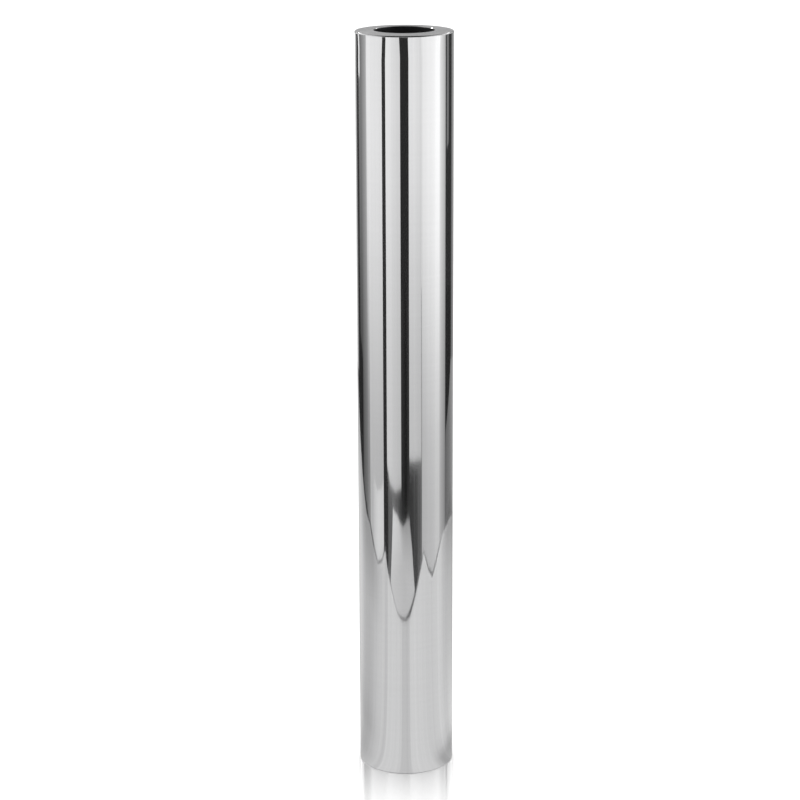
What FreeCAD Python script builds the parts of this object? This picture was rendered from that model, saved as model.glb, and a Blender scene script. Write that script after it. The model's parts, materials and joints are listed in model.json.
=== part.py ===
"""Polished stainless steel safety bollard: a sleeve that lifts off a steel core.

Millimetres, +Z up. The origin is the centre of the foot, on the floor. +Y is the back of the bollard,
where the sleeve's set screws are. A galvanised core stands on a round foot plate, and the polished
sleeve slides down over it, carried by the top collar on the core's upper end.
"""

import FreeCAD
import Part
import math
import os

# Overall
OUTER_DIAMETER = 114.3
OVERALL_HEIGHT = 900.0

# Sleeve and top collar
SLEEVE_WALL = 3.0
COLLAR_LIP = 6.0
COLLAR_SPIGOT = 4.0
COLLAR_CROWN = 0.6
TOP_EDGE_RADIUS = 2.0
MOUTH_BEVEL = 0.6
LOCATING_RING_WALL = 4.0
LOCATING_RING_LENGTH = 18.0

# Core pipe, a standard 76.1 x 2.9 tube
CORE_DIAMETER = 76.1
CORE_WALL = 2.9
GASKET_THICKNESS = 2.0

# Foot
PAD_THICKNESS = 2.0
PLATE_THICKNESS = 15.0
PLATE_CHAMFER = 1.0
FOOT_COLLAR_HEIGHT = 30.0
ANCHOR_COUNT = 4
ANCHOR_CIRCLE = 46.0
ANCHOR_HOLE = 12.0
PAD_HOLE_ALLOWANCE = 2.0
DRAIN_HOLE = 16.0

# Centring spacers, each in two moulded halves clamped round the core
SPACER_COUNT = 3
SPACER_LENGTH = 40.0
SPACER_BAND = 3.0
SPACER_SPLIT = 1.0
SPACER_LEAD_IN = 3.0
RUNNER_WIDTH = 8.0
RUNNER_ANGLES = (72.0, 108.0)
FLANGE_THICKNESS = 6.0

# Spacer clamp screws and nuts, M5
CLAMP_DIAMETER = 5.0
CLAMP_LENGTH = 20.0
CLAMP_HEAD_DIAMETER = 8.5
CLAMP_HEAD_HEIGHT = 5.0
CLAMP_SOCKET = 4.0
CLAMP_SOCKET_DEPTH = 2.5
CLAMP_HOLE_ALLOWANCE = 0.5
NUT_FLATS = 8.0
NUT_HEIGHT = 4.0

# Set screws, M8, and the bosses that carry them inside the sleeve
SET_SCREW_ANGLES = (45.0, 135.0)
SET_SCREW_DIAMETER = 8.0
SET_SCREW_SOCKET = 4.0
SET_SCREW_SOCKET_DEPTH = 3.5
SET_SCREW_RECESS = 0.4
BOSS_DIAMETER = 18.0
BOSS_THICKNESS = 3.2

# Clearances
FOOT_GAP = 0.8
PLATE_CLEARANCE = 0.5
BOSS_CLEARANCE = 0.95
LOCATING_CLEARANCE = 0.35
RUNNER_CLEARANCE = 0.3
TIP_CLEARANCE = 0.3
SEAT_CLEARANCE = 0.05

# Radii and heights that follow
outer_radius = OUTER_DIAMETER / 2
sleeve_bore = outer_radius - SLEEVE_WALL
core_radius = CORE_DIAMETER / 2
mouth_radius = core_radius - CORE_WALL
plate_radius = sleeve_bore - PLATE_CLEARANCE
pad_radius = plate_radius - PLATE_CHAMFER
boss_face_radius = sleeve_bore - BOSS_THICKNESS
foot_collar_radius = boss_face_radius - BOSS_CLEARANCE
runner_radius = sleeve_bore - RUNNER_CLEARANCE
band_radius = core_radius + SPACER_BAND
locating_bore = core_radius + LOCATING_CLEARANCE
locating_radius = locating_bore + LOCATING_RING_WALL

plate_top = PAD_THICKNESS + PLATE_THICKNESS
foot_collar_top = plate_top + FOOT_COLLAR_HEIGHT
sleeve_foot = FOOT_GAP
sleeve_top = OVERALL_HEIGHT - COLLAR_LIP
collar_seat = sleeve_top - COLLAR_SPIGOT
core_top = collar_seat - GASKET_THICKNESS
locating_foot = collar_seat - LOCATING_RING_LENGTH
set_screw_height = plate_top + FOOT_COLLAR_HEIGHT / 2
clamp_radius = (band_radius + runner_radius) / 2

UP = FreeCAD.Vector(0, 0, 1)
ORIGIN = FreeCAD.Vector(0, 0, 0)


def point(radius, height, angle=0.0):
    """A point at a radius, a height and an angle in degrees round the bollard's axis."""
    turn = math.radians(angle)
    return FreeCAD.Vector(radius * math.cos(turn), radius * math.sin(turn), height)


def outward(angle):
    """The horizontal direction that points away from the axis at an angle in degrees."""
    return point(1.0, 0.0, angle)


def disc(radius, low, high):
    return Part.makeCylinder(radius, high - low, point(0, low))


def ring(inner, outer, low, high):
    return disc(outer, low, high).cut(disc(inner, low, high))


def turned(edges):
    """A solid turned about the bollard's axis from the closed profile that the edges make."""
    return Part.Face(Part.Wire(edges)).revolve(ORIGIN, UP, 360)


def outline(corners):
    """Straight edges through (radius, height) corners, closed back to the first one."""
    places = [point(radius, height) for radius, height in corners]
    return [Part.makeLine(a, b) for a, b in zip(places, places[1:] + places[:1])]


def hexagon(flats, base, direction, height):
    """A hexagonal prism by its width across flats, standing on base along direction."""
    radius = flats / math.sqrt(3)
    corners = [point(radius, 0, 60.0 * k) for k in range(7)]
    prism = Part.Face(Part.makePolygon(corners)).extrude(UP * height)
    turn = FreeCAD.Rotation(UP, direction)
    prism.Placement = FreeCAD.Placement(base, turn)
    return prism


def foot_holes(anchor_diameter, low, high):
    """The drain hole and the circle of anchor holes, as the solids to take away."""
    holes = [disc(DRAIN_HOLE / 2, low, high)]
    for k in range(ANCHOR_COUNT):
        centre = point(ANCHOR_CIRCLE / 2, low, 45.0 + 360.0 * k / ANCHOR_COUNT)
        holes.append(Part.makeCylinder(anchor_diameter / 2, high - low, centre))
    return holes


def foot_pad():
    pad = disc(pad_radius, 0.0, PAD_THICKNESS)
    return pad.cut(foot_holes(ANCHOR_HOLE + PAD_HOLE_ALLOWANCE, 0.0, PAD_THICKNESS))


def base_plate():
    low, high = PAD_THICKNESS, plate_top
    rim = plate_radius - PLATE_CHAMFER
    corners = [
        (0, low),
        (rim, low),
        (plate_radius, low + PLATE_CHAMFER),
        (plate_radius, high - PLATE_CHAMFER),
        (rim, high),
        (0, high),
    ]
    return turned(outline(corners)).cut(foot_holes(ANCHOR_HOLE, low, high))


def core_pipe():
    return ring(mouth_radius, core_radius, plate_top, core_top)


def foot_collar():
    return ring(core_radius + SEAT_CLEARANCE, foot_collar_radius, plate_top, foot_collar_top)


def top_gasket():
    return ring(mouth_radius, core_radius, core_top, collar_seat)


def spacer_centres():
    """Heights of the spacers, evenly spread between the foot collar and the locating ring."""
    step = (locating_foot - foot_collar_top) / (SPACER_COUNT + 1)
    return [foot_collar_top + step * (k + 1) for k in range(SPACER_COUNT)]


def spacer_half(centre, side):
    """One half of a spacer, on the back (side 1) or the front (side -1) of the core."""
    low = centre - SPACER_LENGTH / 2
    high = centre + SPACER_LENGTH / 2
    body = disc(band_radius, low, high)
    for angle in RUNNER_ANGLES:
        runner = Part.makeBox(runner_radius, RUNNER_WIDTH, SPACER_LENGTH)
        runner.translate(FreeCAD.Vector(0, -RUNNER_WIDTH / 2, low))
        runner.rotate(ORIGIN, UP, side * angle)
        body = body.fuse(runner)
    flange_reach = SPACER_SPLIT / 2 + FLANGE_THICKNESS
    flanges = Part.makeBox(2 * runner_radius, 2 * flange_reach, SPACER_LENGTH)
    flanges.translate(FreeCAD.Vector(-runner_radius, -flange_reach, low))
    body = body.fuse(flanges)
    tip = runner_radius - SPACER_LEAD_IN
    limit = [
        (core_radius + SEAT_CLEARANCE, low),
        (tip, low),
        (runner_radius, low + SPACER_LEAD_IN),
        (runner_radius, high - SPACER_LEAD_IN),
        (tip, high),
        (core_radius + SEAT_CLEARANCE, high),
    ]
    body = body.common(turned(outline(limit)))
    keep = Part.makeBox(2 * runner_radius, runner_radius, SPACER_LENGTH)
    keep.translate(FreeCAD.Vector(-runner_radius, SPACER_SPLIT / 2, low))
    if side < 0:
        keep.rotate(ORIGIN, UP, 180)
    body = body.common(keep)
    hole = CLAMP_DIAMETER + CLAMP_HOLE_ALLOWANCE
    for axis_x in (-clamp_radius, clamp_radius):
        start = FreeCAD.Vector(axis_x, -flange_reach, centre)
        along = FreeCAD.Vector(0, 1, 0)
        body = body.cut(Part.makeCylinder(hole / 2, 2 * flange_reach, start, along))
    return body.removeSplitter()


def clamp_screw(axis_x, height):
    """A socket head screw through a pair of flanges, with its head at the front."""
    along = FreeCAD.Vector(0, 1, 0)
    seat = FreeCAD.Vector(axis_x, -SPACER_SPLIT / 2 - FLANGE_THICKNESS, height)
    crown = seat - along * CLAMP_HEAD_HEIGHT
    head = Part.makeCylinder(CLAMP_HEAD_DIAMETER / 2, CLAMP_HEAD_HEIGHT, crown, along)
    shank = Part.makeCylinder(CLAMP_DIAMETER / 2, CLAMP_LENGTH, seat, along)
    socket = hexagon(CLAMP_SOCKET, crown, along, CLAMP_SOCKET_DEPTH)
    return head.fuse(shank).cut(socket).removeSplitter()


def clamp_nut(axis_x, height):
    along = FreeCAD.Vector(0, 1, 0)
    seat = FreeCAD.Vector(axis_x, SPACER_SPLIT / 2 + FLANGE_THICKNESS, height)
    bore = Part.makeCylinder(CLAMP_DIAMETER / 2 + SEAT_CLEARANCE, NUT_HEIGHT, seat, along)
    return hexagon(NUT_FLATS, seat, along, NUT_HEIGHT).cut(bore)


def at_each_clamp(make):
    return [make(side * clamp_radius, height) for height in spacer_centres() for side in (-1, 1)]


def set_screw_hole(angle):
    """The tapped hole through the sleeve's wall and the boss behind it."""
    start = point(foot_collar_radius, set_screw_height, angle)
    radius = SET_SCREW_DIAMETER / 2 + SEAT_CLEARANCE
    return Part.makeCylinder(radius, outer_radius, start, outward(angle))


def outer_sleeve():
    tube = ring(sleeve_bore, outer_radius, sleeve_foot, sleeve_top)
    return tube.cut([set_screw_hole(angle) for angle in SET_SCREW_ANGLES])


def top_collar():
    """The turned ring that closes the sleeve, with a rounded rim and a bevelled mouth.

    Its top face rises from the rim to the mouth by the crown, so that rain runs off outwards.
    """
    face_run = outer_radius - TOP_EDGE_RADIUS - mouth_radius
    slope = math.atan2(COLLAR_CROWN, face_run)
    rim_height = OVERALL_HEIGHT - COLLAR_CROWN
    centre_radius = outer_radius - TOP_EDGE_RADIUS
    centre_height = rim_height - TOP_EDGE_RADIUS
    halfway = math.radians(45.0)
    arc_start = point(outer_radius, centre_height)
    arc_middle = point(
        centre_radius + TOP_EDGE_RADIUS * math.cos(halfway),
        centre_height + TOP_EDGE_RADIUS * math.sin(halfway),
    )
    arc_end = point(centre_radius, rim_height)
    spigot_radius = sleeve_bore - SEAT_CLEARANCE
    bevel_radius = mouth_radius + MOUTH_BEVEL
    bevel_height = OVERALL_HEIGHT - MOUTH_BEVEL * math.tan(slope)
    path = [
        arc_end,
        point(bevel_radius, bevel_height),
        point(mouth_radius, bevel_height - MOUTH_BEVEL),
        point(mouth_radius, collar_seat),
        point(spigot_radius, collar_seat),
        point(spigot_radius, sleeve_top),
        point(outer_radius, sleeve_top),
        arc_start,
    ]
    edges = [Part.Arc(arc_start, arc_middle, arc_end).toShape()]
    edges += [Part.makeLine(a, b) for a, b in zip(path, path[1:])]
    return turned(edges)


def locating_ring():
    """The ring under the top collar that keeps the sleeve's mouth in line with the core."""
    return ring(locating_bore, locating_radius, locating_foot, collar_seat)


def screw_boss(angle):
    """A round pad on the sleeve's inner wall that gives a set screw its length of thread."""
    base = point(foot_collar_radius, set_screw_height, angle)
    blank = Part.makeCylinder(BOSS_DIAMETER / 2, SLEEVE_WALL + BOSS_THICKNESS, base, outward(angle))
    low = set_screw_height - BOSS_DIAMETER
    high = set_screw_height + BOSS_DIAMETER
    space = ring(boss_face_radius, sleeve_bore - SEAT_CLEARANCE, low, high)
    return blank.common(space).cut(set_screw_hole(angle))


def set_screw(angle):
    """A flush socket set screw whose point stops just off the foot collar."""
    point_radius = foot_collar_radius + TIP_CLEARANCE
    length = outer_radius - SET_SCREW_RECESS - point_radius
    base = point(point_radius, set_screw_height, angle)
    shank = Part.makeCylinder(SET_SCREW_DIAMETER / 2, length, base, outward(angle))
    socket_radius = point_radius + length - SET_SCREW_SOCKET_DEPTH
    socket_base = point(socket_radius, set_screw_height, angle)
    socket = hexagon(SET_SCREW_SOCKET, socket_base, outward(angle), SET_SCREW_SOCKET_DEPTH)
    return shank.cut(socket)


def build():
    """Every node by name, each a solid or a list of like solids."""
    nodes = {
        "foot_pad": foot_pad(),
        "base_plate": base_plate(),
        "core_pipe": core_pipe(),
        "foot_collar": foot_collar(),
        "top_gasket": top_gasket(),
        "spacer_clamp_screws": at_each_clamp(clamp_screw),
        "spacer_clamp_nuts": at_each_clamp(clamp_nut),
        "outer_sleeve": outer_sleeve(),
        "top_collar": top_collar(),
        "locating_ring": locating_ring(),
        "set_screw_bosses": [screw_boss(angle) for angle in SET_SCREW_ANGLES],
        "set_screws": [set_screw(angle) for angle in SET_SCREW_ANGLES],
    }
    for number, centre in enumerate(spacer_centres(), start=1):
        nodes[f"spacer_{number}_back"] = spacer_half(centre, 1)
        nodes[f"spacer_{number}_front"] = spacer_half(centre, -1)
    return nodes


def save(nodes):
    os.makedirs("parts", exist_ok=True)
    for name, shape in nodes.items():
        solid = Part.makeCompound(shape) if isinstance(shape, list) else shape
        solid.exportStep(os.path.join("parts", f"{name}.step"))


save(build())
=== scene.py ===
"""Looks of a polished stainless steel safety bollard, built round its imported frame.

Metres, +Z up, with the bollard's foot at the origin and its front towards -Y. Every new piece is a surface
worked out on a grid: a profile turned about an axis, or a function of an angle and a step along the piece.
"""

import json
import math

import bmesh
import bpy
import numpy as np
from bpy.props import FloatProperty, FloatVectorProperty, IntProperty, PointerProperty
from mathutils import Matrix, Vector


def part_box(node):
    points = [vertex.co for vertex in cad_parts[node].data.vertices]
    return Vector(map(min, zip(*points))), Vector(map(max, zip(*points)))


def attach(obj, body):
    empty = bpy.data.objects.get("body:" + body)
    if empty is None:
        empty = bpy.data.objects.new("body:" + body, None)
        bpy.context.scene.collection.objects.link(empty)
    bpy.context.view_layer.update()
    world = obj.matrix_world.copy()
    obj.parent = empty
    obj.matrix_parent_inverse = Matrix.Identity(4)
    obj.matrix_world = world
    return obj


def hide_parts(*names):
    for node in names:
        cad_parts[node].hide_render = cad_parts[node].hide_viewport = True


bl_info = {
    "name": "Steel safety bollard",
    "version": (1, 0, 0),
    "blender": (4, 5, 0),
    "location": "View3D > Sidebar > Bollard",
    "description": "Builds the looks of a polished steel bollard round its packed frame",
    "category": "Object",
}

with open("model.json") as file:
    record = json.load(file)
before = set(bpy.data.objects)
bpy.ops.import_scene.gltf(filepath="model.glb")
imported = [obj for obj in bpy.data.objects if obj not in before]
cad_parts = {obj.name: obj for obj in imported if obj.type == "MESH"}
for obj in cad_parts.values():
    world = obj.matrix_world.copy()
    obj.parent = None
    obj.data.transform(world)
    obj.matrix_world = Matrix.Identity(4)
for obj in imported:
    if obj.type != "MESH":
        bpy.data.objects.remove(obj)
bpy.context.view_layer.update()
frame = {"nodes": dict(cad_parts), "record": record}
MM = 0.001
TURN = 2 * math.pi
SHARP_ANGLE = math.radians(35)
# The frame has materials named like the slots, so the finishes' names start differently.
LOOK = "bollard_"
FINISHES = (
    "polished_stainless",
    "satin_stainless",
    "galvanised_steel",
    "zinc_screws",
    "steel_screws",
    "weld_metal",
    "black_rubber",
    "natural_nylon",
)
FIT = 0.05 * MM  # clearance between pieces that fit into each other
CUT_EDGE = 0.3 * MM  # rounding or chamfer of a cut edge
PATCH_RINGS = 5  # rows of faces between a window's edge and its hole
SET_SCREW_SIDES = (45, 135)  # degrees from +X, at the back
RUNNER_SIDES = (72, 108)  # degrees from the split to a spacer half's runners
SET_SCREW_GAP = 0.3 * MM  # from the set screws' points to the foot collar
THREAD_DEPTH = 0.54  # share of the pitch
DRAWN_LENGTH = 16 * MM  # how far below the top ring's foot the wall waves more
COAT, COAT_ROUGHNESS = 0.35, 0.4  # the thin haze over the mirror polish
POLISH_TONES = (0.97, 1.02)  # darkest and lightest bands, as factors of the base colour
WAVE_HEIGHT = 0.12 * MM  # of the polish's long waves, as a bump
WHITE = (1, 1, 1, 1)


def outer_radius(node):
    """A round node's outside radius, from its box."""
    low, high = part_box(node)
    return (high[0] - low[0]) / 2


def mount(name):
    """The record's mount of that name."""
    return next(m for m in frame["record"]["mounts"] if m["name"] == name)


def metres(name, description, default):
    """A length property, kept to a tenth of a millimetre."""
    return FloatProperty(name=name, description=description, default=default, unit="LENGTH", precision=4)


def degrees(name, description, default):
    """An angle property, given in degrees."""
    return FloatProperty(name=name, description=description, default=math.radians(default), subtype="ANGLE")


def amount(name, description, default):
    """A plain number property, never negative."""
    return FloatProperty(name=name, description=description, default=default, min=0.0)


def colour(name, description, default):
    """A colour property with red, green and blue."""
    return FloatVectorProperty(
        name=name, description=description, default=default, subtype="COLOR", size=3, min=0.0, max=1.0
    )


class BollardSizes(bpy.types.PropertyGroup):
    """Sizes that the frame's boxes don't give."""

    sleeve_wall: metres("Sleeve wall", "Thickness of the polished tube", 3 * MM)
    core_wall: metres("Core wall", "Thickness of the core pipe", 2.9 * MM)
    rim_radius: metres("Rim radius", "Rounding of the top collar's outer edge", 2 * MM)
    rim_drop: metres("Rim drop", "How far the top face falls from the mouth to the rim", 0.6 * MM)
    mouth_bevel: metres("Mouth bevel", "Bevel round the mouth", 0.6 * MM)
    foot_edge: metres("Foot edge", "Rounding of the sleeve's foot", 0.25 * MM)
    set_screw_diameter: metres("Set screw", "Thread diameter of the set screws", 8 * MM)
    set_screw_pitch: metres("Set screw pitch", "Thread pitch of the set screws", 1.25 * MM)
    clamp_diameter: metres("Clamp screw", "Thread diameter of the clamp screws", 5 * MM)
    clamp_pitch: metres("Clamp screw pitch", "Thread pitch of the clamp screws", 0.8 * MM)
    clamp_head: metres("Clamp head", "Height of the clamp screws' heads", 5 * MM)
    clamp_head_diameter: metres("Clamp head width", "Diameter of the clamp screws' heads", 8.5 * MM)
    socket_flats: metres("Socket", "Width across the screws' hexagon sockets", 4 * MM)
    nut_flats: metres("Nut", "Width across the nuts' flats", 8 * MM)
    weld_leg: metres("Weld leg", "Size of the weld beads", 3 * MM)
    ring_wall: metres("Locating ring wall", "Thickness of the locating ring", 4 * MM)
    plate_chamfer: metres("Plate chamfer", "Chamfer of the foot plate", 1 * MM)
    pad_allowance: metres("Pad allowance", "How much wider the pad's holes are, on the radius", 1 * MM)
    drain_radius: metres("Drain", "Radius of the drain hole", 8 * MM)
    spacer_band: metres("Spacer band", "Thickness of the spacers round the core", 3 * MM)
    spacer_lead_in: metres("Spacer lead-in", "Chamfer at the spacers' ends", 3 * MM)
    flange_thickness: metres("Spacer flange", "Thickness of the spacers' flanges", 6 * MM)
    runner_width: metres("Spacer runner", "Width of the spacers' runners", 8 * MM)
    moulded_edge: metres("Moulded edge", "Softening of the spacers' edges", 0.5 * MM)
    columns: IntProperty(name="Columns", description="Steps round the tube", default=360, min=72)


class BollardColours(bpy.types.PropertyGroup):
    """Base colours of the bollard's finishes."""

    polished: colour("Polished steel", "Mirror polished sleeve", (0.64, 0.64, 0.645))
    satin: colour("Satin steel", "Turned top ring", (0.60, 0.60, 0.605))
    # Painted shade: the bore's near-black colour stands for the shade inside the mouth; the steel there is
    # only rougher, not black.
    bore: colour("Bore", "Dark unpolished bore", (0.045, 0.045, 0.047))
    zinc: colour("Galvanised", "Dull zinc coat on the core", (0.36, 0.37, 0.385))
    rubber: colour("Rubber", "Pad and gasket", (0.022, 0.022, 0.023))
    nylon: colour("Nylon", "Moulded spacers", (0.70, 0.67, 0.58))
    bright_zinc: colour("Zinc plate", "Clamp screws and nuts", (0.58, 0.60, 0.63))
    plain_steel: colour("Plain steel", "Set screws", (0.45, 0.45, 0.455))
    weld: colour("Weld", "Weld beads", (0.30, 0.29, 0.28))


class StudioSettings(bpy.types.PropertyGroup):
    """Where the camera stands and how bright the stage is."""

    camera_distance: metres("Distance", "Camera's distance in front of the axis", 2.6656)
    camera_height: metres("Height", "Camera's height above the floor", 1.2040)
    camera_tilt: degrees("Tilt", "Angle down", 15.599)
    camera_turn: degrees("Turn", "Angle to the left", 0.136)
    camera_roll: degrees("Roll", "Angle clockwise", 0.2)
    lens: amount("Lens", "Focal length in millimetres", 104.15)
    room_glow: amount("Room", "Soft light of the room", 1.1)
    panel_glow: amount("Panels", "Brightness of the soft panels", 1.0)
    floor_glow: amount("Floor glow", "Glow that keeps the floor white", 0.28)
    mirror_share: amount("Floor polish", "Polish in front of the foot", 0.51)
    mirror_reach: metres("Floor polish reach", "How far from the axis the polish fades out", 0.25)


# Surfaces


def quads(rows, columns, rows_meet, columns_meet):
    """Faces of a grid of rows x columns points, closed round either way where the ends meet."""
    r = np.arange(rows if rows_meet else rows - 1)
    c = np.arange(columns if columns_meet else columns - 1)
    r, c = np.meshgrid(r, c, indexing="ij")
    up, over = (r + 1) % rows, (c + 1) % columns
    corners = (r * columns + c, r * columns + over, up * columns + over, up * columns + c)
    return np.stack(corners, axis=-1)


def polar(radius, angle, height):
    """Points (r cos a, r sin a, z) from three arrays spread to one shape."""
    radius, angle, height = np.broadcast_arrays(radius, angle, height)
    return np.stack([radius * np.cos(angle), radius * np.sin(angle), height], axis=-1)


def round_steps(columns):
    """Equal angles round a turn, from 0."""
    return np.arange(columns) * TURN / columns


def new_mesh(name, points, *faces, solid=True):
    """A mesh object from points and arrays of faces. A solid one is closed, smooth and faces outwards."""
    mesh = bpy.data.meshes.new(name)
    blocks = [np.asarray(block) for block in faces]
    lists = [face for block in blocks for face in block.reshape(-1, block.shape[-1]).tolist()]
    mesh.from_pydata(np.asarray(points, float).reshape(-1, 3).tolist(), [], lists)
    if solid:
        work = bmesh.new()
        work.from_mesh(mesh)
        bmesh.ops.recalc_face_normals(work, faces=work.faces)
        work.to_mesh(mesh)
        work.free()
        mesh.shade_smooth()
        mesh.set_sharp_from_angle(angle=SHARP_ANGLE)
    mesh.validate()
    piece = bpy.data.objects.new(name, mesh)
    bpy.context.scene.collection.objects.link(piece)
    return piece


def rounded(corners, steps=6, support=0.15 * MM):
    """A closed profile through corners given as (radius, height, rounding).

    Each corner is an arc tangent to its two sides. Its centre lies on the corner's bisector, at the
    rounding divided by the sine of half the angle. A support point just before and after each arc keeps
    the shading of the flat sides flat.
    """
    corners = np.asarray(corners, float)
    places, roundings = corners[:, :2], corners[:, 2]
    before = np.roll(places, 1, axis=0) - places
    after = np.roll(places, -1, axis=0) - places
    before /= np.linalg.norm(before, axis=1)[:, None]
    after /= np.linalg.norm(after, axis=1)[:, None]
    outline = []
    for place, radius, back, ahead in zip(places, roundings, before, after):
        half = math.acos(np.clip(back @ ahead, -1, 1)) / 2
        if radius <= 0 or half > math.radians(89):
            outline.append(place[None])
            continue
        run = radius / math.tan(half)
        bisector = (back + ahead) / np.linalg.norm(back + ahead)
        centre = place + bisector * radius / math.sin(half)
        first, last = place + back * run - centre, place + ahead * run - centre
        t = np.linspace(0, 1, steps + 1)[:, None]
        sweep = math.acos(np.clip(first @ last / radius**2, -1, 1))
        arc = (np.sin((1 - t) * sweep) * first + np.sin(t * sweep) * last) / math.sin(sweep)
        ends = place + np.stack([back, ahead]) * (run + support)
        outline += [ends[:1], centre + arc, ends[1:]]
    return np.concatenate(outline)


def turned_points(profile, columns):
    """Points of a (radius, height) profile turned about the Z axis."""
    return polar(profile[:, :1], round_steps(columns), profile[:, 1:])


def turned_ring(name, corners, columns, steps=6):
    """A closed ring: the rounded profile turned about the Z axis."""
    points = turned_points(rounded(corners, steps), columns)
    return new_mesh(name, points, quads(len(points), columns, True, True))


def tube_corners(inner, outer, low, high, foot_rounding, top_rounding):
    """Corners of a tube's wall, up the outside and down the inside."""
    return [
        (outer, low, foot_rounding),
        (outer, high, top_rounding),
        (inner, high, top_rounding),
        (inner, low, foot_rounding),
    ]


def hole_patch(points, keep, row, column, half_rows, half_columns, upward, flat, wrap, radius, start):
    """Cuts a window out of a grid and fills it in to a round hole at its centre.

    Each point on the window's edge runs straight to the hole's edge in the same direction from the
    centre, in equal steps, on the wall laid flat, and is then wrapped back. upward is -1 where the
    grid's rows run the other way. Returns the new points, their faces and the indices round the hole.
    """
    across = np.arange(-half_columns, half_columns)
    along = np.arange(-half_rows, half_rows)
    beside, above = np.full_like(along, half_columns), np.full_like(across, half_rows)
    over = np.concatenate([across, beside, -across, -beside])
    up = np.concatenate([-above, along, above, -along])
    keep[row - half_rows : row + half_rows, column - half_columns : column + half_columns] = False
    columns = points.shape[1]
    edge = (row + upward * up) * columns + column + over
    flat_edge = flat(points.reshape(-1, 3)[edge])
    centre = flat(points[row, column][None])
    reach = flat_edge - centre
    circle = centre + reach / np.linalg.norm(reach, axis=1)[:, None] * radius
    share = np.linspace(0, 1, PATCH_RINGS + 1)[1:, None, None]
    patch = wrap((flat_edge + (circle - flat_edge) * share).reshape(-1, 2))
    index = np.concatenate([edge[None], start + np.arange(len(patch)).reshape(PATCH_RINGS, -1)])
    ahead = np.roll(index, -1, axis=1)
    faces = np.stack([index[:-1], ahead[:-1], ahead[1:], index[1:]], axis=-1)
    return patch, faces, index[-1]


def holed_ring(name, profile, columns, holes):
    """A turned ring with round holes through it, from one wall's row to another's.

    holes lists (column, half_rows, half_columns, radius, two walls), and each wall is
    (row, upward, flat, wrap). The two walls' hole edges run in step, and quads join them.
    """
    points = turned_points(profile, columns)
    faces = quads(len(profile), columns, True, True)
    keep = np.ones(faces.shape[:2], bool)
    patches, fills = [], []
    start = points.shape[0] * columns
    for column, half_rows, half_columns, radius, walls in holes:
        rims = []
        for row, upward, flat, wrap in walls:
            patch, patch_faces, rim = hole_patch(
                points, keep, row, column, half_rows, half_columns, upward, flat, wrap, radius, start
            )
            start += len(patch)
            patches.append(patch)
            fills.append(patch_faces)
            rims.append(rim)
        near, far = rims
        fills.append(np.stack([near, far, np.roll(far, -1), np.roll(near, -1)], axis=-1))
    everything = np.concatenate([points.reshape(-1, 3), *patches])
    return new_mesh(name, everything, faces[keep], *fills)


def hexagon(angle, flats):
    """A hexagon's radius at each angle: half its flats over the cosine of the angle from the nearest flat."""
    return flats / 2 / np.cos((angle + TURN / 12) % (TURN / 6) - TURN / 12)


def thread(angle, along, pitch, depth):
    """How deep a thread is cut: a triangle wave of the distance along less the share of a turn."""
    phase = (along / pitch - angle / TURN) % 1.0
    return depth * np.abs(2 * phase - 1)


def shaft(rings, columns):
    """A closed shaft along +Z from rings of (height, radius at each angle).

    Each ring's radius is an array over the angle, so that one surface holds threads, hexagons and chamfers.
    The two ends close on points of the axis. Returns points, quads and triangles.
    """
    heights = np.array([height for height, _ in rings])
    radii = np.array([np.broadcast_to(radius, columns) for _, radius in rings])
    points = polar(radii, round_steps(columns), heights[:, None])
    count = len(rings) * columns
    first = np.arange(columns)
    last = first + count - columns
    low_fan = np.stack([np.full(columns, count), np.roll(first, -1), first], axis=-1)
    high_fan = np.stack([np.full(columns, count + 1), last, np.roll(last, -1)], axis=-1)
    ends = [[0, 0, heights[0]], [0, 0, heights[-1]]]
    points = np.concatenate([points.reshape(-1, 3), ends])
    return points, quads(len(rings), columns, False, True), np.concatenate([low_fan, high_fan])


def copies(shape, places):
    """One shape's points, quads and triangles, repeated at each matrix in places."""
    points, four, three = shape
    moved, fours, threes = [], [], []
    for number, place in enumerate(places):
        m = np.array(place)
        moved.append(points @ m[:3, :3].T + m[:3, 3])
        fours.append(four + number * len(points))
        threes.append(three + number * len(points))
    return np.concatenate(moved), np.concatenate(fours), np.concatenate(threes)


# Shader building blocks


def node(tree, kind, values=None, **settings):
    """A node of that kind with its settings, and its input sockets set by name or number."""
    made = tree.nodes.new(kind)
    for key, value in settings.items():
        setattr(made, key, value)
    for key, value in (values or {}).items():
        socket = made.inputs[key]
        if isinstance(value, bpy.types.NodeSocket):
            tree.links.new(value, socket)
        else:
            socket.default_value = value
    return made


def maths(tree, operation, first, second=0.0, third=0.0):
    """The result of a Math node."""
    made = node(tree, "ShaderNodeMath", {0: first, 1: second, 2: third}, operation=operation)
    return made.outputs[0]


def times(tree, first, second, plus=0.0):
    """One value times another, plus a third."""
    return maths(tree, "MULTIPLY_ADD", first, second, plus)


def parts_of(tree, vector):
    """A vector's three parts."""
    return node(tree, "ShaderNodeSeparateXYZ", {0: vector}).outputs


def vector_of(tree, *parts):
    """A vector from its three parts."""
    return node(tree, "ShaderNodeCombineXYZ", dict(enumerate(parts))).outputs[0]


def spread(tree, value, low, high, to_low=0.0, to_high=1.0):
    """A value mapped from one range to another, held at the ends."""
    made = node(
        tree,
        "ShaderNodeMapRange",
        {"Value": value, "From Min": low, "From Max": high, "To Min": to_low, "To Max": to_high},
    )
    return made.outputs[0]


def blend_colour(tree, factor, first, second):
    """Two colours mixed by a factor."""
    return node(tree, "ShaderNodeMix", {0: factor, 6: first, 7: second}, data_type="RGBA").outputs[2]


def noise(tree, vector, scale, detail=2.0, roughness=0.5):
    """A noise texture's value between 0 and 1."""
    values = {"Vector": vector, "Scale": scale, "Detail": detail, "Roughness": roughness}
    return node(tree, "ShaderNodeTexNoise", values).outputs[0]


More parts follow.
